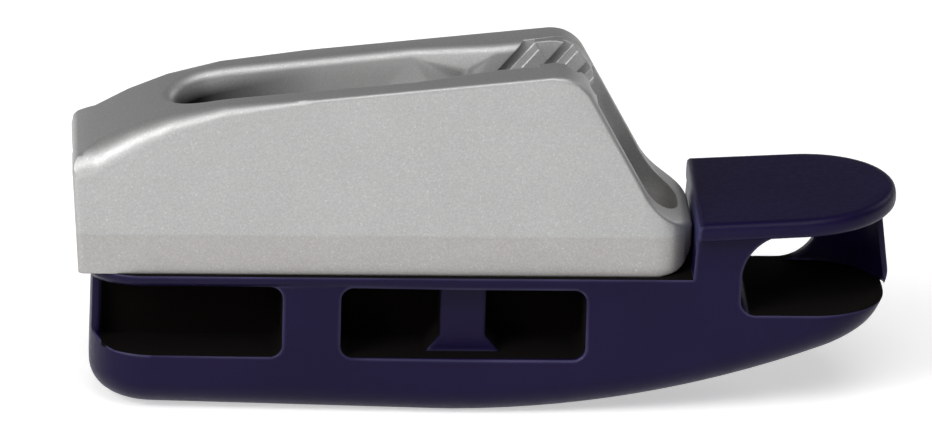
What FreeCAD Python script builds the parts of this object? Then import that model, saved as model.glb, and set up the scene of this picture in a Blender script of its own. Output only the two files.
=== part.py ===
import FreeCAD, Part
import math
import os

from FreeCAD import Vector

# A jam cleat for 3 to 6 mm rope: a cast aluminium body screwed to a boat-shaped nylon base.
# While it is modelled, X runs from the rope's entry towards the nose, Y across, and Z up from the seat
# where the casting stands on the base. All sizes are in millimetres, all angles in degrees.

# Casting, seen from the side
body_length = 81.7
rear_foot_x = 0.45
rear_bulge_x = -0.45
rear_bulge_height = 14.0
rear_height = 15.9
rear_height_x = -0.1
shoulder_x = 11.1
shoulder_height = 22.4
shoulder_run = 10.4
crest_from_tip = 15.8
crest_height = 28.35
crest_round = 5.0
slope_foot_from_tip = 5.1
slope_foot_height = 9.0
slope_foot_round = 10.0
lip_height = 6.2
toe_top_height = 4.4
toe_from_tip = 1.4
toe_height = 0.6
toe_start_from_tip = 4.4
toe_round = 3.0

# Casting, seen from above
body_half_width = 10.0
front_corner_round = 5.2

# Large rounds along the casting's rear upper edges, small bevels along the others
rear_edge_round = 4.4
rear_edge_length = 32.0
rear_edge_angle = 8.0
rear_face_round = 0.8
top_edge_chamfer = 0.5

# Rope slot and toothed V-groove. The half widths and the ramp are given at the crest's height
groove_floor_height = 7.0
groove_floor_half_width = 0.9
jaw_half_width = 4.4
slot_half_width = 6.25
slot_end_x = 17.9
ramp_start_from_tip = 34.4
ramp_end_from_tip = 24.5
ramp_lean = 0.79
rim_round = 1.4
rim_end_from_tip = 20.2

# Teeth: slanted gaps cut into both walls of the V-groove
tooth_angle = 48.0
tooth_pitch = 5.3
tooth_gap = 1.9
tooth_ramp = 0.9
tooth_depth = 1.2
tooth_gap_count = 4
first_gap_from_tip = 25.9
first_gap_height = 23.8

# Channel down the front slope, ending in a bowl
channel_half_width = 8.0
channel_mouth_half_width = 5.4
channel_depth = 4.6
channel_mouth_from_tip = 19.7
channel_full_from_tip = 12.7
channel_flare_round = 8.0
channel_round = 3.5
bowl_front_wall = 1.7
bowl_floor_height = 2.2
bowl_heel_round = 9.0
bowl_corner_round = 7.0
bowl_length = 14.0

# Rope entry in the rear end
entry_radius = 3.5
entry_length = 18.0
entry_flare = 1.2
entry_drop = 0.2

# Screws, countersunk into the floor of the groove
screw_x = (31.3, 51.5)
screw_radius = 2.0
screw_head_radius = 3.75
screw_head_height = 2.2
screw_length = 16.0
screw_clearance = 0.2
head_clearance = 0.3
head_seat_height = 5.2
screw_end_clearance = 1.0
drive_radius = 1.6
drive_depth = 1.5

# Hull of the base. Its keel and walls are tilted a little from the seat's directions
keel_tilt = 0.8
hull_rear_x = 2.25
hull_rear_half_width = 9.7
hull_half_width = 11.0
hull_full_from_step = 31.0
hull_rear_round = 8.5
keel_depth = 19.2
keel_rise_from_step = 6.3
keel_round = 138.0
stem_from_step = 24.0
stem_depth = 6.6
stem_round = 9.0
stem_slope = 54.0
bottom_edge_round = 4.2

# Flange under the casting
flange_rear_x = 0.6
flange_half_width = 10.8
flange_thickness = 1.9
flange_chamfer = 1.0

# Side windows
window_top = 1.6
window_bottom = 11.6
window_round = 1.7
rear_window = (1.0, 27.5)
rear_window_round = 4.9
middle_window = (35.2, 67.7)
web_half_thickness = 1.5
rear_spine_x = 3.4
rear_spine_half_width = 3.6
rib_width = 6.0
rib_setback = 2.0
rib_foot_width = 1.9
rib_foot_height = 2.3

# Step, deck and nose
step_lean = 3.5
deck_height = 8.45
deck_angle = 3.2
deck_thickness = 2.6
deck_half_width = 13.1
deck_taper = 0.3
deck_length = 26.9
deck_edge_round = 0.9
nose_from_tip = 0.7
nose_lean = 8.0
nose_opening_from_step = 6.4
nose_floor = 5.0
nose_top_round = 6.5
nose_bottom_round = 2.0
nose_wall = 0.9
nose_wall_offset = 0.6
far_window_length = 11.8
far_window_round = 5.6

# How far cutting forms stand out past what they cut
spare = 5.0
reach = 60.0

crest_x = body_length - crest_from_tip
slope_foot_x = body_length - slope_foot_from_tip
step_x = body_length
deck_rear_x = step_x + deck_height * math.tan(math.radians(step_lean))
deck_tip_x = deck_rear_x + deck_length * math.cos(math.radians(deck_angle))
nose_tip_x = deck_tip_x - nose_from_tip


def corner_radius(before, corner, after, run):
    """Radius of the round that starts a given run from a corner."""
    back = Vector(before[0] - corner[0], before[1] - corner[1], 0)
    ahead = Vector(after[0] - corner[0], after[1] - corner[1], 0)
    return run * math.tan(back.getAngle(ahead) / 2)


def rounded_wire(corners, to_point):
    """Closed wire through the corners (u, v, radius), each corner rounded by its radius."""
    stations = []
    for i, (u, v, radius) in enumerate(corners):
        corner = Vector(u, v, 0)
        back = (Vector(*corners[i - 1][:2], 0) - corner).normalize()
        ahead = (Vector(*corners[(i + 1) % len(corners)][:2], 0) - corner).normalize()
        half = back.getAngle(ahead) / 2
        if radius > 0 and (back + ahead).Length > 0.0001:
            run = radius / math.tan(half)
            middle = corner + (back + ahead).normalize() * (radius / math.sin(half) - radius)
            stations.append((corner + back * run, middle, corner + ahead * run))
        else:
            stations.append((corner, None, corner))
    edges = []
    for i, (start, middle, end) in enumerate(stations):
        if middle is not None:
            arc = Part.Arc(to_point(start), to_point(middle), to_point(end))
            edges.append(arc.toShape())
        following = stations[(i + 1) % len(stations)][0]
        if (following - end).Length > 0.0001:
            edges.append(Part.makeLine(to_point(end), to_point(following)))
    return Part.Wire(edges)


def side_prism(corners, y_from, y_to):
    """Solid with the given side view, from one Y to another."""
    wire = rounded_wire(corners, lambda p: Vector(p.x, y_from, p.y))
    return Part.Face(wire).extrude(Vector(0, y_to - y_from, 0))


def plan_prism(corners, z_from, z_to):
    """Solid with the given top view, from one height to another."""
    wire = rounded_wire(corners, lambda p: Vector(p.x, p.y, z_from))
    return Part.Face(wire).extrude(Vector(0, 0, z_to - z_from))


def both_sides(half):
    """Whole top view from its near half."""
    return half + [(x, -y, r) for x, y, r in reversed(half)]


def flat_faced_solid(lower, upper):
    """Solid between two polygons with as many corners each."""
    faces = [Part.Face(Part.makePolygon(ring + ring[:1])) for ring in (lower, upper)]
    for i in range(len(lower)):
        j = (i + 1) % len(lower)
        faces.append(Part.Face(Part.makePolygon([lower[i], lower[j], upper[j], upper[i], lower[i]])))
    solid = Part.Solid(Part.Shell(faces))
    if solid.Volume < 0:
        solid.reverse()
    return solid


def mirrored(shape):
    """The same shape on the other side of the middle plane."""
    return shape.mirror(Vector(0, 0, 0), Vector(0, 1, 0))


def one_solid(shape):
    """The single solid that a boolean result holds."""
    return shape.removeSplitter().Solids[0]


def middle_of(edge):
    """Middle point of an edge."""
    return edge.valueAt((edge.FirstParameter + edge.LastParameter) / 2)


# Casting

def casting_side():
    """Side view of the casting."""
    beyond_tip = body_length + spare
    lip_fall = (slope_foot_height - lip_height) / slope_foot_from_tip
    rear = (rear_height_x, rear_height, 0)
    shoulder = (shoulder_x, shoulder_height)
    crest = (crest_x, crest_height, crest_round)
    return [
        (rear_foot_x, 0, 0),
        (rear_bulge_x, rear_bulge_height, 0),
        rear,
        (*shoulder, corner_radius(rear, shoulder, crest, shoulder_run)),
        crest,
        (slope_foot_x, slope_foot_height, slope_foot_round),
        (beyond_tip, lip_height - lip_fall * spare, 0),
        (body_length + toe_height, toe_top_height, 0),
        (body_length - toe_from_tip, toe_height, toe_round),
        (body_length - toe_start_from_tip, 0, 0),
    ]


def upper_height(x):
    """Height of the casting's upper outline at an X."""
    face = Part.Face(rounded_wire(casting_side(), lambda p: Vector(p.x, 0, p.y)))
    return face.common(Part.makeLine(Vector(x, 0, -spare), Vector(x, 0, reach))).BoundBox.ZMax


def is_upper_edge(edge):
    """True for the outer edges along the casting's top, slope and lip."""
    ends = [v.Point for v in edge.Vertexes]
    middle = middle_of(edge)
    at_tip = middle.x > body_length - 0.01
    across = abs(ends[0].x - ends[-1].x) < 0.01 and not at_tip
    outside = abs(middle.y) > body_half_width - front_corner_round or at_tip
    if across or not outside or middle.x < rear_foot_x:
        return False
    return abs(middle.z - upper_height(min(middle.x, body_length))) < 0.05


def is_rear_edge(edge):
    """True for the upright edges of the casting's rear face."""
    middle = middle_of(edge)
    upright = abs(edge.Vertexes[0].Y - edge.Vertexes[-1].Y) < 0.01
    return upright and middle.x < rear_foot_x and 0 < middle.z < rear_height + 0.1


def rear_round_form():
    """Form whose corners cut the large round of the rear upper edges, fading to nothing forwards."""
    tilt = math.radians(rear_edge_angle)
    least = 0.9 * top_edge_chamfer
    wires = []
    for share in (-0.08, 0.08, 0.22, 0.38, 0.6, 1.0):
        x = share * rear_edge_length
        radius = rear_edge_round + (least - rear_edge_round) * max(0, share) ** 0.8
        height = upper_height(max(x, rear_foot_x))
        centre_y = body_half_width - radius
        centre_z = height - radius
        low = Vector(x, centre_y + radius * math.cos(tilt), centre_z + radius * math.sin(tilt))
        mid = Vector(x, centre_y + radius * math.sqrt(0.5), centre_z + radius * math.sqrt(0.5))
        high = Vector(x, centre_y + radius * math.sin(tilt), centre_z + radius * math.cos(tilt))
        peak = Vector(x, 0, high.z + high.y * math.tan(tilt))
        foot = Vector(x, low.y + (low.z + spare) * math.tan(tilt), -spare)
        flip = lambda p: Vector(p.x, -p.y, p.z)
        wires.append(Part.Wire([
            Part.makeLine(foot, low),
            Part.Arc(low, mid, high).toShape(),
            Part.makeLine(high, peak),
            Part.makeLine(peak, flip(high)),
            Part.Arc(flip(high), flip(mid), flip(low)).toShape(),
            Part.makeLine(flip(low), flip(foot)),
            Part.makeLine(flip(foot), foot),
        ]))
    return Part.makeLoft(wires, True, True)


def wall_draft():
    """How much the groove's half width grows for each millimetre of height."""
    return (jaw_half_width - groove_floor_half_width) / (crest_height - groove_floor_height)


def groove():
    """The rope slot and V-groove, as the solid to be cut out. All its walls have one draft."""
    top = crest_height + spare
    rings = []
    for z in (groove_floor_height, top):
        widening = wall_draft() * (z - crest_height)
        shift = ramp_lean * (z - crest_height)
        slot = slot_half_width + widening
        jaw = jaw_half_width + widening
        half = [
            (slot_end_x, -slot, 0),
            (body_length - ramp_start_from_tip + shift, -slot, 0),
            (body_length - ramp_end_from_tip + shift, -jaw, 0),
            (body_length + reach, -jaw, 0),
        ]
        rings.append([Vector(x, y, z) for x, y, _ in both_sides(half)])
    floor_radius = -rings[0][0].y
    top_radius = -rings[1][0].y
    depth = top - groove_floor_height
    rear_end = Part.makeCone(floor_radius, top_radius, depth, Vector(slot_end_x, 0, groove_floor_height))
    return flat_faced_solid(*rings).fuse(rear_end)


def tooth_gap_cutter(index):
    """One slanted gap between two teeth, steep on the rear side and ramped on the other."""
    run = 1 / math.tan(math.radians(tooth_angle))
    first_x = body_length - first_gap_from_tip - (first_gap_height - groove_floor_height) * run
    x_at_floor = first_x + index * tooth_pitch
    top = crest_height - groove_floor_height + spare
    rings = []
    for inside in (True, False):
        ring = []
        for height, ramped in ((0, False), (0, True), (top, True), (top, False)):
            wall = groove_floor_half_width + height * wall_draft()
            depth = -wall if inside else tooth_depth
            width = tooth_gap + tooth_ramp * (1 - depth / tooth_depth) if ramped else 0
            x = x_at_floor + height * run + width
            ring.append(Vector(x, wall + depth, groove_floor_height + height))
        rings.append(ring)
    return flat_faced_solid(*rings)


def channel():
    """The channel down the front slope and the bowl at its foot, as the solid to be cut out."""
    steepness = (crest_height - slope_foot_height) / (slope_foot_x - crest_x)
    back = channel_depth * math.sqrt(1 + 1 / steepness ** 2)
    top = crest_height + spare
    bowl_end = body_length - bowl_front_wall
    top_x = crest_x - back - spare / steepness
    foot_x = crest_x - back + (crest_height - bowl_floor_height) / steepness
    low_x = foot_x + spare / steepness
    trough = side_prism([
        (top_x, top, 0),
        (low_x, bowl_floor_height - spare, 0),
        (low_x + reach, bowl_floor_height - spare, 0),
        (low_x + reach, top, 0),
    ], -channel_half_width, channel_half_width)
    trough = trough.makeFillet(channel_round, [e for e in trough.Edges if is_trough_edge(e)])
    bowl_half = [
        (bowl_end - bowl_length, -channel_half_width, bowl_corner_round),
        (bowl_end, -channel_half_width, bowl_corner_round),
    ]
    bowl = plan_prism(both_sides(bowl_half), bowl_floor_height, top)
    floor_edges = [e for e in bowl.Edges if e.BoundBox.ZMax < bowl_floor_height + 0.01]
    bowl = bowl.makeFillet(channel_round, floor_edges)
    open_space = side_prism([
        (top_x, top, 0),
        (foot_x, bowl_floor_height, bowl_heel_round),
        (low_x + reach, bowl_floor_height, 0),
        (low_x + reach, top, 0),
    ], -body_half_width, body_half_width)
    half = [
        (body_length - channel_mouth_from_tip - reach, -channel_mouth_half_width, 0),
        (body_length - channel_mouth_from_tip, -channel_mouth_half_width, channel_flare_round),
        (body_length - channel_full_from_tip, -channel_half_width, channel_flare_round),
        (bowl_end, -channel_half_width, bowl_corner_round),
    ]
    walls = plan_prism(both_sides(half), 0, top + spare)
    return trough.common(walls).fuse(bowl).common(open_space)


def is_trough_edge(edge):
    """True for the two sloping edges at the bottom of the channel."""
    ends = [v.Point for v in edge.Vertexes]
    return abs(ends[0].x - ends[-1].x) > 1 and abs(ends[0].z - ends[-1].z) > 1


def is_rim_edge(edge):
    """True for the rim of the rope slot and jaw."""
    middle = middle_of(edge)
    first_x = slot_end_x - slot_half_width
    in_slot = first_x < middle.x < body_length - rim_end_from_tip - 0.3 and abs(middle.y) < slot_half_width
    return in_slot and abs(middle.z - upper_height(middle.x)) < 0.3


def screw_hole(x):
    """Hole through the casting for a countersunk screw, with room for its head to pass down the groove."""
    hole_radius = screw_radius + screw_clearance
    shank = Part.makeCylinder(hole_radius, head_seat_height + spare, Vector(x, 0, -spare))
    steepness = screw_head_height / (screw_head_radius - screw_radius)
    depth = (screw_head_radius - hole_radius) * steepness
    seat = Part.makeCone(hole_radius, screw_head_radius, depth, Vector(x, 0, head_seat_height - depth))
    well = Part.makeCylinder(screw_head_radius + head_clearance, reach, Vector(x, 0, head_seat_height))
    return shank.fuse(seat).fuse(well)


def make_casting():
    """The cast and toothed body of the cleat."""
    plan = both_sides([
        (-spare, -body_half_width, 0),
        (body_length, -body_half_width, front_corner_round),
    ])
    blank = side_prism(casting_side(), -body_half_width - spare, body_half_width + spare)
    blank = one_solid(blank.common(plan_prism(plan, -spare, crest_height + spare)))
    blank = blank.makeFillet(rear_face_round, [e for e in blank.Edges if is_rear_edge(e)])
    blank = one_solid(blank.makeChamfer(top_edge_chamfer, [e for e in blank.Edges if is_upper_edge(e)]))
    ahead = Part.makeBox(reach * 2, reach, reach, Vector(rear_edge_length - 0.5, -reach / 2, -spare))
    body = one_solid(blank.common(rear_round_form().fuse(ahead)))
    rope_groove = groove()
    rear_part = Part.makeBox(body_length - rim_end_from_tip, reach, reach, Vector(0, -reach / 2, 0))
    body = one_solid(body.cut(rope_groove.common(rear_part)))
    body = body.makeFillet(rim_round, [e for e in body.Edges if is_rim_edge(e)])
    body = body.cut(rope_groove)
    for index in range(tooth_gap_count):
        gap = tooth_gap_cutter(index)
        body = body.cut(gap).cut(mirrored(gap))
    body = body.cut(channel())
    entry_height = groove_floor_height + entry_radius - entry_drop
    rear = Vector(rear_bulge_x - spare, 0, entry_height)
    entry = Part.makeCylinder(entry_radius, entry_length + spare, rear, Vector(1, 0, 0))
    flare_length = entry_flare + spare
    flare = Part.makeCone(entry_radius + flare_length, entry_radius, flare_length, rear, Vector(1, 0, 0))
    body = body.cut(entry.fuse(flare))
    for x in screw_x:
        body = body.cut(screw_hole(x))
    return one_solid(body)


# Base

def hull_plan(rear_x, rear_half_width):
    """Top view of the hull or flange, round at the rear end and open ahead."""
    return both_sides([
        (rear_x, -rear_half_width, hull_rear_round),
        (step_x - hull_full_from_step, -hull_half_width, 0),
        (nose_tip_x + spare, -hull_half_width, 0),
    ])


def nose_form(inset, side_shift):
    """A long form with the hull's round nose, leaning back from the seat up."""
    radius = hull_half_width - inset - abs(side_shift)
    tip = nose_tip_x - inset
    centre = Vector(tip - radius, side_shift, -reach)
    corner = centre - Vector(2 * reach, radius, 0)
    form = Part.makeCylinder(radius, 2 * reach, centre)
    form = form.fuse(Part.makeBox(2 * reach, 2 * radius, 2 * reach, corner))
    form.rotate(Vector(nose_tip_x, 0, 0), Vector(0, 1, 0), -nose_lean)
    return form


def hull_blank():
    """The hull and the block under the deck, with rounded bottom edges."""
    rise = math.tan(math.radians(stem_slope))
    stem_x = step_x + stem_from_step
    end_x = nose_tip_x + spare
    side = [
        (-spare, spare * 3, 0),
        (-spare, -keel_depth, 0),
        (step_x - keel_rise_from_step, -keel_depth, keel_round),
        (stem_x, -stem_depth, stem_round),
        (end_x, -stem_depth + rise * (end_x - stem_x), 0),
        (end_x, spare * 3, 0),
    ]
    plan = hull_plan(hull_rear_x, hull_rear_half_width)
    hull = side_prism(side, -reach / 2, reach / 2)
    hull = one_solid(hull.common(plan_prism(plan, -reach, reach)).common(nose_form(0, 0)))
    hull = hull.makeFillet(bottom_edge_round, [e for e in hull.Edges if is_bottom_edge(e)])
    hull.rotate(Vector(0, 0, 0), Vector(0, 1, 0), keel_tilt)
    deck_middle = deck_height - deck_thickness / 2
    climb = math.tan(math.radians(deck_angle))
    below_seat = [
        (-spare, -reach, 0),
        (end_x, -reach, 0),
        (end_x, deck_middle + climb * (end_x - deck_rear_x), 0),
        (step_x + deck_middle * math.tan(math.radians(step_lean)), deck_middle, 0),
        (step_x, 0, 0),
        (-spare, 0, 0),
    ]
    return one_solid(hull.common(side_prism(below_seat, -reach / 2, reach / 2)))


def is_bottom_edge(edge):
    """True for the edges between the hull's bottom and its walls."""
    ends = [v.Point for v in edge.Vertexes]
    middle = middle_of(edge)
    upright = abs(ends[0].x - ends[-1].x) < 0.01 and abs(ends[0].z - ends[-1].z) > 1
    level = abs(ends[0].z - ends[-1].z) < 0.01
    across = abs(ends[0].x - ends[-1].x) < 0.01 and level and middle.x > 2 * hull_rear_x
    return middle.z < spare and not upright and not across


def flange():
    """The plate under the casting, chamfered back to the hull below."""
    plan = hull_plan(flange_rear_x, flange_half_width)
    plate = plan_prism(plan, -flange_thickness, 0)
    low = [e for e in plate.Edges if e.BoundBox.ZMax < 0.01 - flange_thickness]
    plate = plate.makeChamfer(flange_chamfer, low)
    under_casting = Part.makeBox(step_x + 2 * spare, reach, reach, Vector(-spare, -reach / 2, -reach / 2))
    return plate.common(under_casting)


def pocket(corners):
    """A window cut in from both sides, as far as the web along the middle."""
    near = side_prism(corners, -reach / 2, -web_half_thickness)
    return near.fuse(mirrored(near))


def window(x_from, x_to, radius):
    """Side view of a window between two X."""
    return [
        (x_from, -window_bottom, radius),
        (x_to, -window_bottom, window_round),
        (x_to, -window_top, window_round),
        (x_from, -window_top, radius),
    ]


def rib():
    """The rib inside the middle window, with its flared foot, set back from the hull's sides."""
    middle = screw_x[1]
    half = rib_width / 2
    outer = half + rib_foot_width
    knee = rib_foot_height - window_bottom
    outline = [
        (middle - outer, -window_bottom - window_top, 0),
        (middle - outer, -window_bottom, 0),
        (middle - half, knee, 0),
        (middle - half, 0, 0),
        (middle + half, 0, 0),
        (middle + half, knee, 0),
        (middle + outer, -window_bottom, 0),
        (middle + outer, -window_bottom - window_top, 0),
    ]
    far = hull_rear_half_width - rib_setback
    return side_prism(outline, -far, far)


def nose_cavity():
    """The space under the deck: open to the near side and tip, with a smaller window in the far side."""
    climb = math.tan(math.radians(deck_angle))
    roof = deck_height - deck_thickness
    first_x = step_x + nose_opening_from_step
    end_x = deck_tip_x + spare
    window_end = first_x + far_window_length
    first_roof = roof + climb * (first_x - deck_rear_x)
    opening = [
        (first_x, -nose_floor, nose_bottom_round),
        (end_x, -nose_floor, 0),
        (end_x, roof + climb * (end_x - deck_rear_x), 0),
        (first_x, first_roof, nose_top_round),
    ]
    near = side_prism(opening, -reach / 2, 0)
    through = [
        (first_x, -nose_floor, nose_bottom_round),
        (window_end, -nose_floor, far_window_round),
        (window_end, roof + climb * (window_end - deck_rear_x), 0),
        (first_x, first_roof, nose_top_round),
    ]
    hollow = side_prism(opening, -reach / 2, reach / 2).common(nose_form(nose_wall, -nose_wall_offset / 2))
    return near.fuse(hollow).fuse(side_prism(through, -1, reach / 2))


def deck_outline(inset, z):
    """Top view of the deck at a height, drawn in from its full size by an inset."""
    tip_half_width = deck_half_width - deck_taper - inset
    half = [
        (-spare, inset - deck_half_width, 0),
        (deck_length - inset, -tip_half_width, tip_half_width),
    ]
    return rounded_wire(both_sides(half), lambda p: Vector(p.x, p.y, z))


def deck():
    """The deck over the nose, with rounded edges, tilted up forwards from the top of the step."""
    lean = math.tan(math.radians(step_lean + deck_angle))
    outlines = []
    for angle in (90, 60, 30, 0):
        inset = deck_edge_round * (1 - math.cos(math.radians(angle)))
        drop = deck_edge_round * (1 - math.sin(math.radians(angle)))
        outlines.append(deck_outline(inset, -drop))
    for angle in (0, 30, 60, 90):
        inset = deck_edge_round * (1 - math.cos(math.radians(angle)))
        drop = deck_edge_round * (1 - math.sin(math.radians(angle)))
        outlines.append(deck_outline(inset, drop - deck_thickness))
    plate = Part.makeLoft(outlines, True, True)
    side = [
        (-deck_thickness * lean, -deck_thickness, 0),
        (deck_length + spare, -deck_thickness, 0),
        (deck_length + spare, 0, 0),
        (0, 0, deck_edge_round),
    ]
    plate = one_solid(plate.common(side_prism(side, -reach / 2, reach / 2)))
    plate.rotate(Vector(0, 0, 0), Vector(0, 1, 0), -deck_angle)
    plate.translate(Vector(deck_rear_x, 0, deck_height))
    return plate


def make_base():
    """The moulded hull with its flange, windows, step, deck and nose opening."""
    base = hull_blank().fuse(flange())
    corner = Vector(-spare, -rear_spine_half_width, -reach / 2)
    spine = Part.makeBox(rear_spine_x + spare, 2 * rear_spine_half_width, reach, corner)
    base = base.cut(pocket(window(*rear_window, rear_window_round)).cut(spine))
    base = base.cut(pocket(window(*middle_window, window_round)).cut(rib()))
    base = base.fuse(deck())
    base = base.cut(nose_cavity())
    for x in screw_x:
        depth = screw_length - head_seat_height + screw_end_clearance
        base = base.cut(Part.makeCylinder(screw_radius, depth + spare, Vector(x, 0, -depth)))
    return one_solid(base)


def make_screws():
    """The two screws, each with its countersunk head and hexagonal drive."""
    screws = []
    for x in screw_x:
        top = head_seat_height
        neck = Vector(x, 0, top - screw_head_height)
        shank_length = screw_length - screw_head_height
        shank = Part.makeCylinder(screw_radius, shank_length, Vector(x, 0, top - screw_length))
        head = Part.makeCone(screw_radius, screw_head_radius, screw_head_height, neck)
        turns = [math.radians(60 * k) for k in range(7)]
        outline = [Vector(x + drive_radius * math.cos(a), drive_radius * math.sin(a), top) for a in turns]
        recess = Part.Face(Part.makePolygon(outline)).extrude(Vector(0, 0, -drive_depth))
        screws.append(one_solid(shank.fuse(head).cut(recess)))
    return Part.makeCompound(screws)


pieces = {
    "cleat_body": make_casting(),
    "streamlined_base": make_base(),
    "cleat_screws": make_screws(),
}

# The origin lies under the middle of the whole part, at the height of the keel's lowest point
bounds = Part.makeCompound(list(pieces.values())).optimalBoundingBox()
origin = Vector((bounds.XMin + bounds.XMax) / 2, 0, bounds.ZMin)

os.makedirs("parts", exist_ok=True)
for name, piece in pieces.items():
    piece.translate(origin * -1)
    piece.exportStep("parts/" + name + ".step")
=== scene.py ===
import math

import bpy
from bpy.props import FloatProperty, FloatVectorProperty, PointerProperty
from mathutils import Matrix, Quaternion, Vector


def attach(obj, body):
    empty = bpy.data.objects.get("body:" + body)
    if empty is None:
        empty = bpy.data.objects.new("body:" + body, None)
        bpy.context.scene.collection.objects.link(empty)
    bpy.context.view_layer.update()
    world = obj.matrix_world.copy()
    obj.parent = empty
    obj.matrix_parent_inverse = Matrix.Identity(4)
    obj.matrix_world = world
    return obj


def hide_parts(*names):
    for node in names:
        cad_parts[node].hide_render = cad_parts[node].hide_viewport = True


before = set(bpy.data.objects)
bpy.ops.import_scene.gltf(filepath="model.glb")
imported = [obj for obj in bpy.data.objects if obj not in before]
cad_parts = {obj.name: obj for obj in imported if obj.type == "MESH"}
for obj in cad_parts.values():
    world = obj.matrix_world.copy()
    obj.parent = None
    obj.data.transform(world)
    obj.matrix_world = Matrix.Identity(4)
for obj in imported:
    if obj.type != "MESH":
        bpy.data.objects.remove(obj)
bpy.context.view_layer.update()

bl_info = {
    "name": "Jam cleat",
    "version": (1, 0, 0),
    "blender": (4, 5, 0),
    "location": "3D View > Sidebar > Jam cleat",
    "description": "Dresses a jam cleat's cast body, boat-shaped base and screws, and lights them",
    "category": "Object",
}

MILLIMETRE = 0.001

# Merging and shading of the CAD nodes' copies
MERGE_DISTANCE = 0.000004
SMOOTH_ANGLE = math.radians(50)

# The seat that the casting stands on, and the painted shade in the seam along it, in metres like all places
# outside the jaw
SEAT_HEIGHT = 0.01988
SEAT_LINE = 0.00035

# The base's windows, nose and step, from the part's origin. The two heights of the step's painted highlight
# are above the seat
WINDOW_MIDDLE, WINDOW_HALF_LENGTH = -0.0186, 0.0321
WINDOW_HEIGHT, WINDOW_HALF_HEIGHT = 0.01318, 0.0049
NOSE_START = 0.030
STEP_X, STEP_HALF_DEPTH = 0.0276, 0.0010
STEP_HIGHLIGHT_START, STEP_HIGHLIGHT_FULL = 0.0035, 0.0055

# Over how far the painted shade and the painted highlights fade out, in metres
PAINTED_SHADE_FADE, WALL_FADE, WINDOW_FADE, STEP_FADE = 0.0003, 0.0002, 0.0001, 0.0002

# Which way a face has to look, as a part of its normal: where a mask starts and where it is full
SIDES_LEFT_OUT = (0.7, 0.6)
NOSE_FLOOR_UPWARDS, SEAM_UPWARDS = (0.85, 0.95), (0.3, 0.6)
STEP_REARWARDS = (-0.8, -0.95)

# The rope slot's rear end, which gets painted shade: where its dark starts, is full and has gone, and the
# rim that rises along it
SLOT_START, SLOT_DARK_END, SLOT_LIGHT = -0.0470, -0.0380, -0.0220
SLOT_HALF_WIDTH, SLOT_RIM, SLOT_RISE = 0.0066, 0.0412, 0.235
SLOT_FLOOR = 0.003
SLOT_DIM_DEPTH, SLOT_DARK_DEPTH = 0.0002, 0.0020

# Jaw ends, from the casting's rear and its seat, in millimetres: where the walls' teeth run out on the slope
REAR_X = -54.36
WALL_DRAFT = 0.164
FLOOR_HEIGHT, FLOOR_HALF_WIDTH = 7.0, 0.9
TOOTH_RUN = 1 / math.tan(math.radians(48))
TOOTH_PITCH, TOOTH_GAP, TOOTH_RAMP, TOOTH_DEPTH = 5.3, 1.9, 0.9, 1.2
FIRST_GAP_X, FIRST_GAP_HEIGHT = 55.8, 23.8
GAP_TALL = 26
LAST_GAPS = (1, 2)
CREST_MIDDLE, CREST_ROUND = (63.14, 23.02), 4.96
CREST_TURNS = (96, 83, 70, 56, 43, 29)
JAW_END_BEFORE = [(65.95, 18.85), (60.75, 27.76)]
JAW_END_AFTER = [(68.62, 23.35), (68.72, 22.60), (68.30, 21.70), (67.60, 20.85)]
BURIED_HALF_WIDTH = 8.6

# Noise: the detail and roughness of specks and mottling, and the values between which nearly all of it lies
SPECK_DETAIL, SPECK_ROUGHNESS = 2.0, 0.6
MOTTLE_DETAIL, MOTTLE_ROUGHNESS = 3.0, 0.55
NOISE_LOW, NOISE_HIGH = 0.3, 0.7

# Edges: where the painted highlight starts and is full, by how far the normal turns and by how pointed the
# corner is
BEVEL_SAMPLES = 8
HIGHLIGHT_TURN, HIGHLIGHT_POINT = (0.995, 0.90), (0.50, 0.53)

# Casting: mottles to a metre, how light the noises make it, its painted glints (bright flecks) and its
# parting line
METAL_MOTTLES = 90.0
METAL_SPECK_SHADE, METAL_MOTTLE_SHADE = (0.92, 1.06), (0.975, 1.02)
GLINT_START, GLINT_FULL, GLINT_SHADE = 0.66, 0.76, 1.3
PARTING_BLEND, PARTING_LINE, PARTING_SHADE = 0.0003, 0.00035, 0.95
METAL_ROUGHER, METAL_BUMP = 0.06, 0.35
CASTING_METALLIC = 0.75

# Base: the same, and how much painted highlight an edge and the step get
NYLON_MOTTLES = 55.0
NYLON_MOTTLE_SHADE = (0.9, 1.12)
EDGE_HIGHLIGHT_SHARE, STEP_HIGHLIGHT_SHARE = (0.35, 0.9), (0.45, 1.0)
STEP_HIGHLIGHT_SPECKS = (0.35, 0.6)
NYLON_SMOOTHER, NYLON_ROUGHER = 0.04, 0.06
NYLON_BUMP, NYLON_GRAIN_DEPTH, SINK_BUMP = 0.5, 0.00002, 1.0
NYLON_IOR = 1.22

# Screws: specks and mottles to a metre, and how the mottles change the roughness
STEEL_SPECKS, STEEL_MOTTLES = 3000.0, 400.0
STEEL_SMOOTHER, STEEL_ROUGHER = 0.06, 0.08
STEEL_BUMP, STEEL_GRAIN_DEPTH = 0.3, 0.00001

# Stage: the floor, the lamps (place, width and height, the setting with the power), the world and the camera
FLOOR_SIZE, FLOOR_CUTS = 12.0, 3
LAMP_AIM = (0.0, 0.0, 0.02)
LAMPS = {
    "key_lamp": ((-0.80, -0.75, 0.72), (0.6, 0.6), "key_power"),
    "high_lamp": ((0.10, -0.60, 1.10), (0.9, 0.8), "high_power"),
    "front_lamp": ((-0.35, -1.15, 0.16), (0.9, 0.28), "front_power"),
    "back_lamp": ((0.85, 0.65, 0.60), (0.7, 0.5), "back_power"),
}
HORIZON_UP, CEILING_UP = 0.03, 0.24
FULL_LIGHT_ALONG, NOSE_SIDE_ALONG, NOSE_SIDE_LIGHT = -0.2, 0.75, 0.25
PHOTO_WIDTH = 932
SENSOR_WIDTH = 36.0
CLIP_NEAR, CLIP_FAR = 0.05, 20.0


# Settings that a user would change

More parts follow.
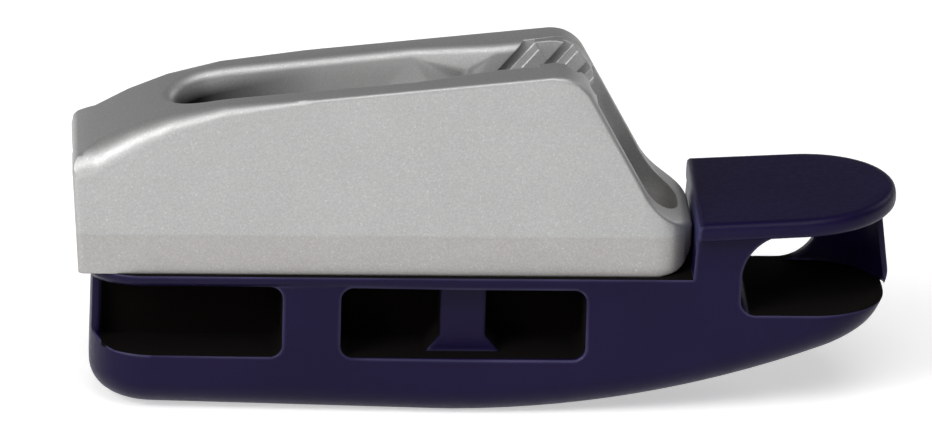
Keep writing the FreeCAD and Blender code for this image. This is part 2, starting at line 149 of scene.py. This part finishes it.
class CastingSettings(bpy.types.PropertyGroup):
    """Colours and surface of the cast body"""
    colour: FloatVectorProperty(
        name="Metal colour", description="Colour of the blasted and anodised casting",
        default=(0.436, 0.436, 0.432), subtype="COLOR", min=0, max=1)
    band_colour: FloatVectorProperty(
        name="Band colour", description="Slightly warmer colour below the parting line",
        default=(0.404, 0.393, 0.382), subtype="COLOR", min=0, max=1)
    roughness: FloatProperty(
        name="Roughness", description="How matt the blasted surface is",
        default=0.52, min=0, max=1, subtype="FACTOR")
    grain_size: FloatProperty(
        name="Grain size", description="Size of the specks left by blasting",
        default=0.00024, unit="LENGTH")
    grain_depth: FloatProperty(
        name="Grain depth", description="Depth of the specks", default=0.000012, unit="LENGTH")
    edge_round: FloatProperty(
        name="Edge round", description="How far the casting's edges look rounded",
        default=0.0003, unit="LENGTH")
    parting_height: FloatProperty(
        name="Parting height", description="Height of the parting line above the seat",
        default=0.0054, unit="LENGTH")
    # Painted shade: the casting's colour is darkened deep in the slot's rear end
    slot_shade: FloatProperty(
        name="Slot shade", description="How much light colour is left deep in the slot's rear end",
        default=0.03, min=0, max=1, subtype="FACTOR")


class BaseSettings(bpy.types.PropertyGroup):
    """Colours and surface of the moulded base"""
    colour: FloatVectorProperty(
        name="Nylon colour", description="Colour of the moulded base",
        default=(0.0064, 0.0032, 0.0270), subtype="COLOR", min=0, max=1)
    # Painted highlight: paler colour on the outer edges
    edge_highlight_colour: FloatVectorProperty(
        name="Edge highlight colour", description="Paler colour of the rubbed edges",
        default=(0.055, 0.050, 0.115), subtype="COLOR", min=0, max=1)
    # Painted highlight: pale colour on the lit upper part of the step's face
    step_highlight_colour: FloatVectorProperty(
        name="Step highlight colour", description="Pale colour of the scuffed step before the casting's toe",
        default=(0.055, 0.055, 0.15), subtype="COLOR", min=0, max=1)
    # Painted shade: the colour given to the insides of the windows, the nose's floor and the seam under the
    # casting
    painted_shade_colour: FloatVectorProperty(
        name="Painted shade colour", description="Colour deep inside the windows and the nose",
        default=(0.0016, 0.0008, 0.0004), subtype="COLOR", min=0, max=1)
    roughness: FloatProperty(
        name="Roughness", description="How matt the nylon is",
        default=0.40, min=0, max=1, subtype="FACTOR")
    grain_size: FloatProperty(
        name="Grain size", description="Size of the fine moulded texture",
        default=0.0007, unit="LENGTH")
    wave_depth: FloatProperty(
        name="Wave depth", description="Depth of the broad sink marks of the moulding",
        default=0.00005, unit="LENGTH")
    edge_round: FloatProperty(
        name="Edge round", description="How far the base's edges look rounded",
        default=0.0008, unit="LENGTH")
    # How far inwards the painted shade in the windows reaches
    shade_half_width: FloatProperty(
        name="Shade half width", description="From this far inwards every face of the windows looks dark",
        default=0.0070, unit="LENGTH")
    wall_half_width: FloatProperty(
        name="Wall half width", description="From this far inwards the windows' sills and sides look dark",
        default=0.0103, unit="LENGTH")


class ScrewSettings(bpy.types.PropertyGroup):
    """Colour and surface of the screws"""
    colour: FloatVectorProperty(
        name="Steel colour", description="Colour of the screws",
        default=(0.56, 0.56, 0.57), subtype="COLOR", min=0, max=1)
    roughness: FloatProperty(
        name="Roughness", description="How matt the screws are",
        default=0.30, min=0, max=1, subtype="FACTOR")


class StudioSettings(bpy.types.PropertyGroup):
    """Camera, floor and lights"""
    azimuth: FloatProperty(
        name="Azimuth", description="Turn of the camera round the cleat",
        default=math.radians(3.1), subtype="ANGLE")
    elevation: FloatProperty(
        name="Elevation", description="Camera's height above the horizon",
        default=math.radians(21.0), subtype="ANGLE")
    roll: FloatProperty(
        name="Roll", description="Turn of the camera about its own axis",
        default=math.radians(1.5), subtype="ANGLE")
    distance: FloatProperty(
        name="Distance", description="Distance from the camera to its target",
        default=1.25, unit="LENGTH")
    target: FloatVectorProperty(
        name="Target", description="Point in the middle of the picture",
        default=(-0.00236, 0.0, 0.02368), subtype="TRANSLATION")
    pixels_per_mm: FloatProperty(
        name="Pixels per mm", description="Scale of the picture at the target", default=7.52)
    floor_colour: FloatVectorProperty(
        name="Floor colour", description="Colour of the pale floor",
        default=(0.80, 0.80, 0.80), subtype="COLOR", min=0, max=1)
    floor_white: FloatProperty(
        name="Floor white", description="How much white the floor adds where it is looked at",
        default=0.50, min=0, max=1)
    key_power: FloatProperty(
        name="Key light", description="Power of the lamp before the rear end and the near side",
        default=11.5, unit="POWER")
    high_power: FloatProperty(
        name="High light", description="Power of the wide lamp above the near side",
        default=7.5, unit="POWER")
    front_power: FloatProperty(
        name="Front light", description="Power of the low lamp along the near side",
        default=0.7, unit="POWER")
    back_power: FloatProperty(
        name="Back light", description="Power of the lamp behind the nose",
        default=2.0, unit="POWER")
    horizon_light: FloatProperty(
        name="Horizon light", description="Strength of the light from low all round", default=0.95)
    ceiling_light: FloatProperty(
        name="Ceiling light", description="Strength of the light from above", default=0.11)


# Helpers for the shapes

def deselect():
    """Leaves nothing selected."""
    if bpy.context.object and bpy.context.object.mode != "OBJECT":
        bpy.ops.object.mode_set(mode="OBJECT")
    bpy.ops.object.select_all(action="DESELECT")


def select_only(piece):
    """Leaves one piece selected and active."""
    deselect()
    piece.select_set(True)
    bpy.context.view_layer.objects.active = piece


def edit_all():
    """Enters edit mode with the whole mesh of the active piece selected."""
    bpy.ops.object.mode_set(mode="EDIT")
    bpy.ops.mesh.select_all(action="SELECT")


def shade(piece):
    """Shades a piece smoothly up to an angle, with its wide faces flat and its narrow ones round."""
    select_only(piece)
    bpy.ops.mesh.customdata_custom_splitnormals_clear()
    bpy.ops.object.shade_smooth_by_angle(angle=SMOOTH_ANGLE)
    weighted = piece.modifiers.new("wide_faces_first", "WEIGHTED_NORMAL")
    weighted.mode = "FACE_AREA"
    weighted.keep_sharp = True
    bpy.ops.object.modifier_apply(modifier=weighted.name)


def dressed_copy(node, name, material):
    """A merged and smoothly shaded copy of a CAD node, which stands for it."""
    deselect()
    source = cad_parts[node]
    copy = bpy.data.objects.new(name, source.data.copy())
    bpy.context.scene.collection.objects.link(copy)
    select_only(copy)
    edit_all()
    bpy.ops.mesh.remove_doubles(threshold=MERGE_DISTANCE)
    bpy.ops.object.mode_set(mode="OBJECT")
    shade(copy)
    copy.data.materials.clear()
    copy.data.materials.append(material)
    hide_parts(node)
    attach(copy, "root")
    return copy


def place_vertices(piece, places):
    """Moves a new primitive's corners to places in millimetres from the casting's rear and seat."""
    for vertex, (x, y, z) in zip(piece.data.vertices, places):
        vertex.co = ((x + REAR_X) * MILLIMETRE, y * MILLIMETRE, z * MILLIMETRE + SEAT_HEIGHT)


def point_outwards(piece):
    """Turns all of a piece's faces outwards."""
    select_only(piece)
    edit_all()
    bpy.ops.mesh.normals_make_consistent(inside=False)
    bpy.ops.object.mode_set(mode="OBJECT")


def wall_half_width(height):
    """How far the toothed walls stand from the middle at a height."""
    return FLOOR_HALF_WIDTH + WALL_DRAFT * (height - FLOOR_HEIGHT)


def jaw_end_block():
    """The far wall's last stretch, from the channel's back to the crest's round and the slope."""
    turns = [math.radians(angle) for angle in CREST_TURNS]
    arc = [(CREST_MIDDLE[0] + CREST_ROUND * math.cos(a), CREST_MIDDLE[1] + CREST_ROUND * math.sin(a))
           for a in turns]
    outline = JAW_END_BEFORE + arc + JAW_END_AFTER
    deselect()
    bpy.ops.mesh.primitive_circle_add(vertices=len(outline), fill_type="NGON")
    block = bpy.context.object
    block.name = "jaw_ends"
    place_vertices(block, [(x, wall_half_width(z), z) for x, z in outline])
    edit_all()
    bpy.ops.mesh.extrude_region_move(TRANSFORM_OT_translate={"value": (0, MILLIMETRE, 0)})
    bpy.ops.object.mode_set(mode="OBJECT")
    for vertex in block.data.vertices:
        if vertex.select:
            vertex.co.y = BURIED_HALF_WIDTH * MILLIMETRE
    point_outwards(block)
    return block


def tooth_gap(index):
    """The slanted space between two teeth, steep on one side and ramped on the other."""
    deselect()
    bpy.ops.mesh.primitive_cube_add()
    gap = bpy.context.object
    corners = []
    for outer in (-1, 1):
        for side in (-1, 1):
            for height in (FLOOR_HEIGHT, FLOOR_HEIGHT + GAP_TALL):
                wall = wall_half_width(height)
                depth = TOOTH_DEPTH if side > 0 else -wall
                ramp = TOOTH_GAP + TOOTH_RAMP * (1 - depth / TOOTH_DEPTH) if outer > 0 else 0
                start = FIRST_GAP_X + index * TOOTH_PITCH + (height - FIRST_GAP_HEIGHT) * TOOTH_RUN
                corners.append((start + ramp, wall + depth, height))
    place_vertices(gap, corners)
    point_outwards(gap)
    return gap


def jaw_ends(material):
    """The last teeth of both walls, up to the front slope."""
    block = jaw_end_block()
    for index in LAST_GAPS:
        gap = tooth_gap(index)
        cut = block.modifiers.new("gap", "BOOLEAN")
        cut.operation, cut.solver, cut.object = "DIFFERENCE", "EXACT", gap
        deselect()
        bpy.context.view_layer.objects.active = block
        bpy.ops.object.modifier_apply(modifier=cut.name)
        bpy.data.objects.remove(gap)
    both = block.modifiers.new("near_side", "MIRROR")
    both.use_axis = (False, True, False)
    both.use_mirror_merge = False
    bpy.ops.object.modifier_apply(modifier=both.name)
    point_outwards(block)
    shade(block)
    block.data.materials.append(material)
    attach(block, "root")
    return block


# Helpers for the materials

class NodeBench:
    """Adds nodes to a tree and links them, column by column."""
    column_width = 180

    def __init__(self, tree):
        self.tree = tree
        self.column = 0

    def feed(self, node, inputs):
        """Links each of a node's named inputs to a socket, or sets it to a value."""
        for key, value in inputs.items():
            socket = node.inputs[key]
            if isinstance(value, bpy.types.NodeSocket):
                self.tree.links.new(value, socket)
            else:
                socket.default_value = value

    def add(self, kind, inputs=None, **values):
        """A new node with its inputs fed."""
        node = self.tree.nodes.new(kind)
        node.location = (self.column * self.column_width, 0)
        self.column += 1
        for key, value in values.items():
            setattr(node, key, value)
        self.feed(node, inputs or {})
        return node

    def math(self, operation, *values):
        """The result of a sum or comparison of values."""
        return self.add("ShaderNodeMath", dict(enumerate(values)), operation=operation).outputs["Value"]

    def product(self, first, *others):
        """The product of two or more values."""
        for other in others:
            first = self.math("MULTIPLY", first, other)
        return first

    def distance_from(self, value, middle):
        """How far the value lies from a middle, on either side."""
        return self.math("ABSOLUTE", self.math("SUBTRACT", value, middle))

    def map_range(self, value, start, end, low, high):
        """The value, carried from one range to another."""
        ranges = {"Value": value, "From Min": start, "From Max": end, "To Min": low, "To Max": high}
        return self.add("ShaderNodeMapRange", ranges).outputs["Result"]

    def mask(self, value, none, full):
        """0 where the value is at none, 1 where it is at full."""
        return self.map_range(value, none, full, 0.0, 1.0)

    def from_noise(self, noise, low, high):
        """A noise's value, carried to a range."""
        return self.map_range(noise, NOISE_LOW, NOISE_HIGH, low, high)

    def mix(self, factor, first, second):
        """The first colour where the factor is 0, the second where it is 1."""
        inputs = {"Factor": factor, "A": first, "B": second}
        return self.add("ShaderNodeMix", inputs, data_type="RGBA").outputs["Result"]

    def scaled(self, colour, scale):
        """A colour, made lighter or darker."""
        return self.add(
            "ShaderNodeVectorMath", {0: colour, "Scale": scale}, operation="SCALE").outputs["Vector"]

    def bump(self, height, strength, distance, normal=None):
        """Normals roughened by a height."""
        inputs = {"Height": height, "Strength": strength, "Distance": distance}
        if normal:
            inputs["Normal"] = normal
        return self.add("ShaderNodeBump", inputs).outputs["Normal"]

    def parts(self, vector):
        """The three parts of a vector."""
        return self.add("ShaderNodeSeparateXYZ", {"Vector": vector}).outputs


def cleared(owner):
    """The bench of a material or world, with its first nodes removed."""
    owner.use_nodes = True
    owner.node_tree.nodes.clear()
    return NodeBench(owner.node_tree)


def new_material(name):
    """An empty material with its bench, Principled shader and Object coordinates."""
    material = bpy.data.materials.new(name)
    bench = cleared(material)
    place = bench.add("ShaderNodeTexCoord").outputs["Object"]
    shader = bench.add("ShaderNodeBsdfPrincipled")
    bench.add("ShaderNodeOutputMaterial", {"Surface": shader.outputs["BSDF"]})
    return material, bench, shader, place


def new_group(name, given, made):
    """An empty node group with its named inputs and outputs."""
    tree = bpy.data.node_groups.new(name, "ShaderNodeTree")
    for direction, sockets in (("INPUT", given), ("OUTPUT", made)):
        for label, kind in sockets.items():
            tree.interface.new_socket(label, in_out=direction, socket_type="NodeSocket" + kind)
    return tree


def grain_group():
    """Node group: fine specks and broad mottling, both from 0 to 1."""
    if "Surface grain" in bpy.data.node_groups:
        return bpy.data.node_groups["Surface grain"]
    tree = new_group(
        "Surface grain", {"Place": "Vector", "Speck scale": "Float", "Mottle scale": "Float"},
        {"Specks": "Float", "Mottle": "Float"})
    bench = NodeBench(tree)
    given = bench.add("NodeGroupInput").outputs
    specks = bench.add("ShaderNodeTexNoise", {
        "Vector": given["Place"], "Scale": given["Speck scale"],
        "Detail": SPECK_DETAIL, "Roughness": SPECK_ROUGHNESS})
    mottle = bench.add("ShaderNodeTexNoise", {
        "Vector": given["Place"], "Scale": given["Mottle scale"],
        "Detail": MOTTLE_DETAIL, "Roughness": MOTTLE_ROUGHNESS})
    bench.add("NodeGroupOutput", {"Specks": specks.outputs["Fac"], "Mottle": mottle.outputs["Fac"]})
    return tree


def edge_group():
    """Node group: rounded normals along the edges, and a mask for the painted edge highlight that is 1 on
    outer edges and 0 elsewhere.
    """
    if "Rubbed edges" in bpy.data.node_groups:
        return bpy.data.node_groups["Rubbed edges"]
    tree = new_group("Rubbed edges", {"Width": "Float"}, {"Mask": "Float", "Normal": "Vector"})
    bench = NodeBench(tree)
    given = bench.add("NodeGroupInput").outputs
    bevel = bench.add("ShaderNodeBevel", {"Radius": given["Width"]}, samples=BEVEL_SAMPLES)
    rounded = bevel.outputs["Normal"]
    flat = bench.add("ShaderNodeNewGeometry").outputs
    turn = bench.add(
        "ShaderNodeVectorMath", {0: rounded, 1: flat["Normal"]}, operation="DOT_PRODUCT").outputs["Value"]
    turned = bench.mask(turn, *HIGHLIGHT_TURN)
    outer = bench.mask(flat["Pointiness"], *HIGHLIGHT_POINT)
    bench.add("NodeGroupOutput", {"Mask": bench.product(turned, outer), "Normal": rounded})
    return tree


def surface_grain(bench, place, speck_scale, mottle_scale):
    """The grain group, placed in a material with its own scales."""
    inputs = {"Place": place, "Speck scale": speck_scale, "Mottle scale": mottle_scale}
    outputs = bench.add("ShaderNodeGroup", inputs, node_tree=grain_group()).outputs
    return outputs["Specks"], outputs["Mottle"]


def edge_highlights_and_rounds(bench, width):
    """The edge group, placed in a material with its own width."""
    outputs = bench.add("ShaderNodeGroup", {"Width": width}, node_tree=edge_group()).outputs
    return outputs["Mask"], outputs["Normal"]


def painted_slot_shade_mask(bench, x, y, z):
    """Painted shade: 1 deep in the rear end of the rope slot, where the rear shoulder shades it, 0
    elsewhere.
    """
    start = bench.mask(x, SLOT_START, SLOT_START + MILLIMETRE)
    end = bench.mask(x, SLOT_LIGHT, SLOT_DARK_END)
    inwards = bench.mask(bench.distance_from(y, 0.0), SLOT_HALF_WIDTH, SLOT_HALF_WIDTH - MILLIMETRE / 2)
    above = bench.mask(z, SEAT_HEIGHT + SLOT_FLOOR, SEAT_HEIGHT + SLOT_FLOOR + MILLIMETRE)
    rim = bench.math("MULTIPLY_ADD", x, SLOT_RISE, SLOT_RIM - SLOT_RISE * SLOT_DARK_END)
    deep = bench.mask(bench.math("SUBTRACT", rim, z), SLOT_DIM_DEPTH, SLOT_DARK_DEPTH)
    return bench.product(start, end, inwards, above, deep)


def metal_material():
    """Blasted and anodised aluminium: specks, painted glints, a warmer foot and painted shade at the slot's
    rear end.
    """
    made = bpy.context.scene.jam_cleat_casting
    material, bench, shader, place = new_material("blasted_aluminium")
    specks, mottle = surface_grain(bench, place, 1 / made.grain_size, METAL_MOTTLES)
    _, rounded = edge_highlights_and_rounds(bench, made.edge_round)
    x, y, height = bench.parts(place)
    line = SEAT_HEIGHT + made.parting_height
    below = bench.mask(height, line + PARTING_BLEND, line - PARTING_BLEND)
    colour = bench.mix(below, (*made.colour, 1), (*made.band_colour, 1))
    speckled = bench.from_noise(specks, *METAL_SPECK_SHADE)
    mottled = bench.from_noise(mottle, *METAL_MOTTLE_SHADE)
    # Painted glints: bright flecks in the colour for the sparkle of the blasted grain
    glints = bench.map_range(specks, GLINT_START, GLINT_FULL, 1.0, GLINT_SHADE)
    seam = bench.map_range(bench.distance_from(height, line), 0.0, PARTING_LINE, PARTING_SHADE, 1.0)
    # Painted shade: darker colour deep in the slot's rear end
    slot = bench.map_range(painted_slot_shade_mask(bench, x, y, height), 0.0, 1.0, 1.0, made.slot_shade)
    bench.feed(shader, {
        "Base Color": bench.scaled(colour, bench.product(speckled, mottled, glints, seam, slot)),
        "Roughness": bench.from_noise(
            specks, made.roughness + METAL_ROUGHER, made.roughness - METAL_ROUGHER),
        "Normal": bench.bump(specks, METAL_BUMP, made.grain_depth, rounded),
        "Metallic": CASTING_METALLIC,
    })
    return material


def painted_shade_mask(bench, place, made):
    """Painted shade: 1 inside the windows, on the nose's floor and in the seam under the casting, 0
    elsewhere.
    """
    x, y, z = bench.parts(place)
    _, sideways, upwards = bench.parts(bench.add("ShaderNodeNewGeometry").outputs["Normal"])
    inwards = bench.distance_from(y, 0.0)
    deep = bench.mask(inwards, made.shade_half_width + PAINTED_SHADE_FADE, made.shade_half_width)
    walls = bench.mask(inwards, made.wall_half_width + WALL_FADE, made.wall_half_width - WALL_FADE)
    sills = bench.mask(bench.distance_from(sideways, 0.0), *SIDES_LEFT_OUT)
    inside = bench.math("MAXIMUM", deep, bench.product(walls, sills))
    along = bench.mask(
        bench.distance_from(x, WINDOW_MIDDLE), WINDOW_HALF_LENGTH + WINDOW_FADE, WINDOW_HALF_LENGTH)
    up = bench.mask(
        bench.distance_from(z, WINDOW_HEIGHT), WINDOW_HALF_HEIGHT + WINDOW_FADE, WINDOW_HALF_HEIGHT)
    windows = bench.product(inside, along, up)
    nose = bench.product(
        bench.mask(x, NOSE_START, NOSE_START + MILLIMETRE / 2),
        bench.mask(z, SEAT_HEIGHT, SEAT_HEIGHT - MILLIMETRE),
        bench.mask(upwards, *NOSE_FLOOR_UPWARDS))
    seam = bench.product(
        bench.mask(bench.distance_from(z, SEAT_HEIGHT), SEAT_LINE, SEAT_LINE / 2),
        bench.mask(upwards, *SEAM_UPWARDS))
    return bench.math("MAXIMUM", bench.math("MAXIMUM", windows, nose), seam)


def step_highlight_mask(bench, place):
    """Painted highlight: 1 on the upper part of the step's face before the casting's toe, where light falls,
    0 elsewhere.
    """
    x, _, z = bench.parts(place)
    along, _, _ = bench.parts(bench.add("ShaderNodeNewGeometry").outputs["Normal"])
    rearwards = bench.mask(along, *STEP_REARWARDS)
    at_step = bench.mask(bench.distance_from(x, STEP_X), STEP_HALF_DEPTH, STEP_HALF_DEPTH - STEP_FADE)
    upper = bench.mask(z, SEAT_HEIGHT + STEP_HIGHLIGHT_START, SEAT_HEIGHT + STEP_HIGHLIGHT_FULL)
    return bench.product(rearwards, at_step, upper)


def nylon_material():
    """Dark moulded nylon: fine texture, broad sink marks, painted highlights on the edges and the step, and
    painted shade deep in its hollows.
    """
    made = bpy.context.scene.jam_cleat_base
    material, bench, shader, place = new_material("moulded_nylon")
    specks, mottle = surface_grain(bench, place, 1 / made.grain_size, NYLON_MOTTLES)
    edges, rounded = edge_highlights_and_rounds(bench, made.edge_round)
    # Painted highlight: paler colour on the outer edges, varied by the mottle
    shining = bench.product(edges, bench.from_noise(mottle, *EDGE_HIGHLIGHT_SHARE))
    # Painted highlight on the step's face, broken up by specks
    highlighted = bench.product(step_highlight_mask(bench, place), bench.map_range(specks, *STEP_HIGHLIGHT_SPECKS, *STEP_HIGHLIGHT_SHARE))
    painted_shade = painted_shade_mask(bench, place, made)
    colour = bench.mix(shining, (*made.colour, 1), (*made.edge_highlight_colour, 1))
    colour = bench.mix(highlighted, colour, (*made.step_highlight_colour, 1))
    # Painted shade in the windows, on the nose's floor and in the seam under the casting
    colour = bench.mix(painted_shade, colour, (*made.painted_shade_colour, 1))
    speckled = bench.from_noise(specks, made.roughness - NYLON_SMOOTHER, made.roughness + NYLON_ROUGHER)
    sunk = bench.bump(mottle, SINK_BUMP, made.wave_depth, rounded)
    bench.feed(shader, {
        "Base Color": bench.scaled(colour, bench.from_noise(mottle, *NYLON_MOTTLE_SHADE)),
        "Roughness": bench.math("MAXIMUM", speckled, painted_shade),
        "Normal": bench.bump(specks, NYLON_BUMP, NYLON_GRAIN_DEPTH, sunk),
        "IOR": NYLON_IOR,
    })
    return material


def steel_material():
    """Plain stainless steel with faint turning marks."""
    made = bpy.context.scene.jam_cleat_screws
    material, bench, shader, place = new_material("screw_stainless")
    specks, mottle = surface_grain(bench, place, STEEL_SPECKS, STEEL_MOTTLES)
    bench.feed(shader, {
        "Base Color": (*made.colour, 1),
        "Metallic": 1.0,
        "Roughness": bench.from_noise(
            mottle, made.roughness - STEEL_SMOOTHER, made.roughness + STEEL_ROUGHER),
        "Normal": bench.bump(specks, STEEL_BUMP, STEEL_GRAIN_DEPTH),
    })
    return material


# Operators, one for each piece and one for the stage

class JAMCLEAT_OT_casting(bpy.types.Operator):
    """Dress the toothed cast body"""
    bl_idname = "jamcleat.casting"
    bl_label = "Cast body"

    def execute(self, context):
        metal = metal_material()
        dressed_copy("cleat_body", "cast_cleat_body", metal)
        jaw_ends(metal)
        return {"FINISHED"}


class JAMCLEAT_OT_base(bpy.types.Operator):
    """Dress the boat-shaped moulded base"""
    bl_idname = "jamcleat.base"
    bl_label = "Moulded base"

    def execute(self, context):
        dressed_copy("streamlined_base", "moulded_base", nylon_material())
        return {"FINISHED"}


class JAMCLEAT_OT_screws(bpy.types.Operator):
    """Dress the countersunk screws"""
    bl_idname = "jamcleat.screws"
    bl_label = "Screws"

    def execute(self, context):
        dressed_copy("cleat_screws", "countersunk_screws", steel_material())
        return {"FINISHED"}


# The stage

def area_light(name, place, size, power):
    """A large soft lamp that faces the cleat."""
    deselect()
    place = Vector(place)
    turn = (Vector(LAMP_AIM) - place).to_track_quat("-Z", "Y").to_euler()
    bpy.ops.object.light_add(type="AREA", location=place, rotation=turn)
    lamp = bpy.context.object
    lamp.name = name
    lamp.data.name = name
    lamp.data.shape = "RECTANGLE"
    lamp.data.size, lamp.data.size_y = size
    lamp.data.energy = power


def looked_at(bench):
    """1 for rays that the camera, a gloss or a glass sends, 0 for the others."""
    path = bench.add("ShaderNodeLightPath").outputs
    seen = bench.math("MAXIMUM", path["Is Camera Ray"], path["Is Glossy Ray"])
    return bench.math("MAXIMUM", seen, path["Is Transmission Ray"])


def floor_sheet(colour, white):
    """The wide pale floor. It adds white where it is looked at, and keeps the cleat's shadow."""
    deselect()
    bpy.ops.mesh.primitive_plane_add(size=FLOOR_SIZE, location=(0, 0, 0))
    sheet = bpy.context.object
    sheet.name = "pale_floor"
    edit_all()
    bpy.ops.mesh.subdivide(number_cuts=FLOOR_CUTS)
    bpy.ops.object.mode_set(mode="OBJECT")
    material = bpy.data.materials.new("pale_paper")
    bench = cleared(material)
    paper = bench.add("ShaderNodeBsdfDiffuse", {"Color": (*colour, 1)})
    glow = bench.add("ShaderNodeEmission", {"Strength": bench.product(looked_at(bench), white)})
    both = bench.add("ShaderNodeAddShader", {0: paper.outputs["BSDF"], 1: glow.outputs["Emission"]})
    bench.add("ShaderNodeOutputMaterial", {"Surface": both.outputs["Shader"]})
    sheet.data.materials.append(material)


def soft_world(horizon, ceiling):
    """Soft pale light all round, weaker from above and from the nose's side."""
    world = bpy.data.worlds.new("soft_room")
    bpy.context.scene.world = world
    bench = cleared(world)
    along, _, up = bench.parts(bench.add("ShaderNodeTexCoord").outputs["Generated"])
    level = bench.map_range(up, HORIZON_UP, CEILING_UP, horizon, ceiling)
    nose_side = bench.map_range(along, FULL_LIGHT_ALONG, NOSE_SIDE_ALONG, 1.0, NOSE_SIDE_LIGHT)
    light = bench.add("ShaderNodeBackground", {
        "Color": (1, 1, 1, 1), "Strength": bench.product(level, nose_side)})
    bench.add("ShaderNodeOutputWorld", {"Surface": light.outputs["Background"]})


def photo_camera(made):
    """The camera at the photograph's angle and scale."""
    turn, rise = made.azimuth, made.elevation
    ahead = Vector((math.sin(turn) * math.cos(rise), math.cos(turn) * math.cos(rise), -math.sin(rise)))
    facing = ahead.to_track_quat("-Z", "Y") @ Quaternion((0, 0, 1), made.roll)
    place = Vector(made.target) - ahead * made.distance
    deselect()
    bpy.ops.object.camera_add(location=place, rotation=facing.to_euler())
    camera = bpy.context.object
    camera.name = "photo_camera"
    camera.data.sensor_width = SENSOR_WIDTH
    view_width = PHOTO_WIDTH / made.pixels_per_mm * MILLIMETRE
    camera.data.lens = camera.data.sensor_width * made.distance / view_width
    camera.data.clip_start, camera.data.clip_end = CLIP_NEAR, CLIP_FAR
    bpy.context.scene.camera = camera


class JAMCLEAT_OT_studio(bpy.types.Operator):
    """Set the floor, the soft lamps and the camera"""
    bl_idname = "jamcleat.studio"
    bl_label = "Studio"

    def execute(self, context):
        made = context.scene.jam_cleat_studio
        floor_sheet(made.floor_colour, made.floor_white)
        soft_world(made.horizon_light, made.ceiling_light)
        for name, (place, size, setting) in LAMPS.items():
            area_light(name, place, size, getattr(made, setting))
        photo_camera(made)
        context.scene.view_settings.view_transform = "Standard"
        return {"FINISHED"}


# Panel and registration

class JAMCLEAT_PT_panel(bpy.types.Panel):
    """Lists the pieces and their settings"""
    bl_label = "Jam cleat"
    bl_idname = "JAMCLEAT_PT_panel"
    bl_space_type = "VIEW_3D"
    bl_region_type = "UI"
    bl_category = "Jam cleat"

    def draw(self, context):
        for operator, group in PANEL_ROWS:
            box = self.layout.box()
            box.operator(operator)
            made = getattr(context.scene, group)
            for key in made.__annotations__:
                box.prop(made, key)


PANEL_ROWS = [
    ("jamcleat.casting", "jam_cleat_casting"),
    ("jamcleat.base", "jam_cleat_base"),
    ("jamcleat.screws", "jam_cleat_screws"),
    ("jamcleat.studio", "jam_cleat_studio"),
]

GROUPS = {
    "jam_cleat_casting": CastingSettings,
    "jam_cleat_base": BaseSettings,
    "jam_cleat_screws": ScrewSettings,
    "jam_cleat_studio": StudioSettings,
}

CLASSES = [
    CastingSettings, BaseSettings, ScrewSettings, StudioSettings,
    JAMCLEAT_OT_casting, JAMCLEAT_OT_base, JAMCLEAT_OT_screws, JAMCLEAT_OT_studio,
    JAMCLEAT_PT_panel,
]


def register():
    """Registers the classes and gives the scene its settings."""
    for cls in CLASSES:
        bpy.utils.register_class(cls)
    for name, group in GROUPS.items():
        setattr(bpy.types.Scene, name, PointerProperty(type=group))


def unregister():
    """Removes the settings and the classes."""
    for name in GROUPS:
        delattr(bpy.types.Scene, name)
    for cls in reversed(CLASSES):
        bpy.utils.unregister_class(cls)


def main():
    """Builds the whole picture."""
    register()
    bpy.ops.jamcleat.casting()
    bpy.ops.jamcleat.base()
    bpy.ops.jamcleat.screws()
    bpy.ops.jamcleat.studio()


if __name__ == "__main__":
    main()
